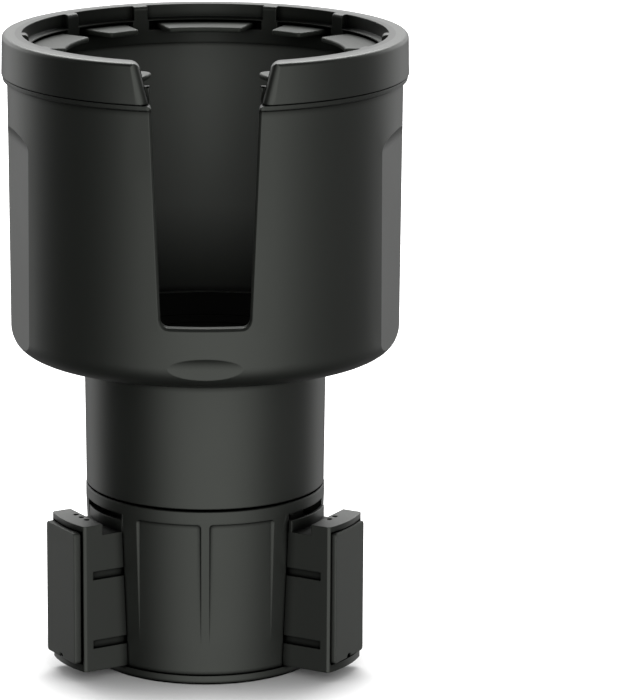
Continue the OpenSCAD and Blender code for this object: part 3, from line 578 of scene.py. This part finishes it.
def makeCupBody(look):
    bm = bmesh.new()
    bm.from_mesh(nodes["cup_body"].data)
    parts = bm.verts[:] + bm.edges[:] + bm.faces[:]
    edgeHeight, slack = look["edgeHeight"], look["levelSlack"]
    bmesh.ops.bisect_plane(bm, geom=parts, dist=look["cutSnap"],
                           plane_co=(0, 0, edgeHeight), plane_no=(0, 0, 1))

    def standsOut(vertex):
        return vertex.co.to_2d().length > look["wallRadius"]

    for vertex in bm.verts:
        if abs(vertex.co.z - edgeHeight) < slack and standsOut(vertex):
            vertex.co = (*(vertex.co.to_2d().normalized() * look["edgeRadius"]), vertex.co.z)
    for face in bm.faces:
        if all(vertex.co.z > edgeHeight - slack and standsOut(vertex) for vertex in face.verts):
            face.smooth = False
    mesh = bpy.data.meshes.new("cupBody")
    bm.to_mesh(mesh)
    bm.free()
    mesh.attributes.remove(mesh.attributes["custom_normal"])
    dressPiece(mesh, "cupBody", "cupPlastic", "cup", "cup_body")


makeCupBody(flangeLook)
print("rim and cup body made")


# rubber pad on an arm: a plate with round edges and a notch, and the block in the arm's socket
padLook = {
    "thickness": 0.00225,
    "edge": 0.0004,
    "corner": 0.0012,
    "notchRadius": 0.0011,
    "notchStep": 20,          # degrees between the points of the notch
    "socketHalf": 0.0058,
    "socketMargin": 0.0041,
    "blockUnderFace": 0.0012,
    "blockEdge": 0.0001,
}
# heading of each arm, and how much shallower its socket is than the first arm's
arms = {1: (90, 0), 2: (330, 0.002134), 3: (210, 0.001067)}


# all pads stand at the same distance from the axis, so the first one's box gives their sizes
def makePad(number, heading, shallower, look):
    low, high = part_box("pad_1")
    half = (high.x - low.x) / 2
    face, seat = high.y, low.y + shallower
    outward = Vector((*polar(1, heading), 0))
    across = Vector((-outward.y, outward.x, 0))
    radius = look["notchRadius"]
    turns = [math.radians(angle) for angle in range(180, -1, -look["notchStep"])]
    notch = [(Vector((radius * math.cos(turn), low.z + radius * math.sin(turn))), 0) for turn in turns]
    bottomLeft, bottomRight, topRight, topLeft = [
        (Vector(point), look["corner"])
        for point in ((-half, low.z), (half, low.z), (half, high.z), (-half, high.z))]
    outline = roundOutline([bottomLeft] + notch + [bottomRight, topRight, topLeft])
    side = look["socketHalf"]
    blockLow, blockHigh = low.z + look["socketMargin"], high.z - look["socketMargin"]
    block = [Vector(point) for point in (
        (-side, blockLow), (side, blockLow), (side, blockHigh), (-side, blockHigh))]

    def place(point, level):
        return outward * level + across * point.x + Vector((0, 0, point.y))

    bm = bmesh.new()
    addPlate(bm, outline, face - look["thickness"], face, look["edge"], place)
    addPlate(bm, block, seat, face - look["blockUnderFace"], look["blockEdge"], place)
    finishPiece(bm, f"pad{number}", "padRubber", f"arm_{number}_set", f"pad_{number}")


for number, (heading, shallower) in arms.items():
    makePad(number, heading, shallower, padLook)
print("pads made:", len(arms))


# floor and lights

floorLook = {
    "radius": 2.5,
    "corners": 96,
    "color": (0.8, 0.8, 0.8),
    "roughness": 0.9,
    "specular": 0.1,
    "glow": 1.0,             # white floor, only for camera rays
    "shadowReach": 0.034,    # how far the soft contact shadow spreads
    "shadowDepth": 4.0,
    "shadowSamples": 16,
}
roomLevel = 0.025
softboxLook = {"place": (0, 1.1, 1.3), "target": (0, 0, 0.09), "size": (1.6, 0.8), "power": 30}
# bright zones of the room: heading in degrees to the right of the camera, cosine from it at which
# the zone starts and is full, sine of the elevation at which it fades out, and fades in from below
roomZones = {
    "front": {"heading": 3, "level": 2.0, "ramp": (0.40, 1.0), "top": (0.6, 0.95)},
    "rightFill": {"heading": 66, "level": 0.3, "ramp": (0.45, 1.0), "top": (0.6, 0.95)},
    "back": {"heading": 180, "level": 0.20, "ramp": (0.2, 0.6), "top": (0.9, 1.0)},
    "backHigh": {"heading": 180, "level": 1.1, "ramp": (0.2, 0.7), "top": (0.6, 0.95), "foot": (-0.10, 0.12)},
    "backLeft": {"heading": -134, "level": 0.92, "ramp": (0.885, 0.975), "top": (0.6, 0.95)},
    "backRight": {"heading": 137, "level": 0.80, "ramp": (0.89, 0.98), "top": (0.6, 0.95)},
}


def seenByCamera(tree):
    return addNode(tree, "ShaderNodeLightPath").outputs["Is Camera Ray"]


def makeFloor(look):
    bpy.ops.mesh.primitive_circle_add(vertices=look["corners"], radius=look["radius"], fill_type="NGON")
    floor = bpy.context.object
    floor.name = "floor"
    floor.visible_glossy = False
    material = bpy.data.materials.new("floorPale")
    material.use_nodes = True
    tree = material.node_tree
    shader = tree.nodes["Principled BSDF"]
    shader.inputs["Base Color"].default_value = (*look["color"], 1)
    shader.inputs["Roughness"].default_value = look["roughness"]
    shader.inputs["Specular IOR Level"].default_value = look["specular"]
    shader.inputs["Emission Color"].default_value = (1, 1, 1, 1)
    nearness = addNode(tree, "ShaderNodeAmbientOcclusion", samples=look["shadowSamples"])
    nearness.inputs["Distance"].default_value = look["shadowReach"]
    clear = mathNode(tree, "POWER", nearness.outputs["AO"], look["shadowDepth"])
    glow = mathNode(tree, "MULTIPLY", mathNode(tree, "MULTIPLY", seenByCamera(tree), clear), look["glow"])
    tree.links.new(glow, shader.inputs["Emission Strength"])
    floor.data.materials.append(material)


def smoothRamp(tree, value, low, high, atLow, atHigh):
    ramp = addNode(tree, "ShaderNodeMapRange", interpolation_type="SMOOTHSTEP")
    tree.links.new(value, ramp.inputs["Value"])
    for label, number in zip(("From Min", "From Max", "To Min", "To Max"), (low, high, atLow, atHigh)):
        ramp.inputs[label].default_value = number
    return ramp.outputs["Result"]


# how bright one zone of the room is in a direction
def addZone(tree, direction, rise, zone):
    toward = addNode(tree, "ShaderNodeVectorMath", operation="DOT_PRODUCT")
    tree.links.new(direction, toward.inputs[0])
    turn = math.radians(zone["heading"])
    toward.inputs[1].default_value = (math.sin(turn), -math.cos(turn), 0)
    level = smoothRamp(tree, toward.outputs["Value"], *zone["ramp"], 0.0, zone["level"])
    if "foot" in zone:
        level = mathNode(tree, "MULTIPLY", level, smoothRamp(tree, rise, *zone["foot"], 0.0, 1.0))
    return mathNode(tree, "MULTIPLY", level, smoothRamp(tree, rise, *zone["top"], 1.0, 0.0))


# the room's zones light the object, and the camera sees plain white
def makeWorld(zones, plainLevel):
    world = bpy.data.worlds.new("paleRoom")
    bpy.context.scene.world = world
    world.use_nodes = True
    tree = world.node_tree
    background = tree.nodes["Background"]
    background.inputs["Color"].default_value = (1, 1, 1, 1)
    direction = addNode(tree, "ShaderNodeTexCoord").outputs["Generated"]
    rise = splitNode(tree, direction)["Z"]
    room = plainLevel
    for zone in zones.values():
        room = mathNode(tree, "ADD", addZone(tree, direction, rise, zone), room)
    level = addNode(tree, "ShaderNodeMix", data_type="FLOAT")
    tree.links.new(seenByCamera(tree), level.inputs["Factor"])
    tree.links.new(room, level.inputs["A"])
    level.inputs["B"].default_value = 1.0
    tree.links.new(level.outputs["Result"], background.inputs["Strength"])


def addSoftbox(name, look):
    data = bpy.data.lights.new(name, "AREA")
    data.shape = "RECTANGLE"
    data.size, data.size_y = look["size"]
    data.energy = look["power"]
    lamp = bpy.data.objects.new(name, data)
    lamp.location = look["place"]
    aim = Vector(look["target"]) - Vector(look["place"])
    lamp.rotation_euler = aim.to_track_quat("-Z", "Y").to_euler()
    bpy.context.scene.collection.objects.link(lamp)


makeFloor(floorLook)
makeWorld(roomZones, roomLevel)
addSoftbox("backTopBox", softboxLook)
print("stage and lights made")
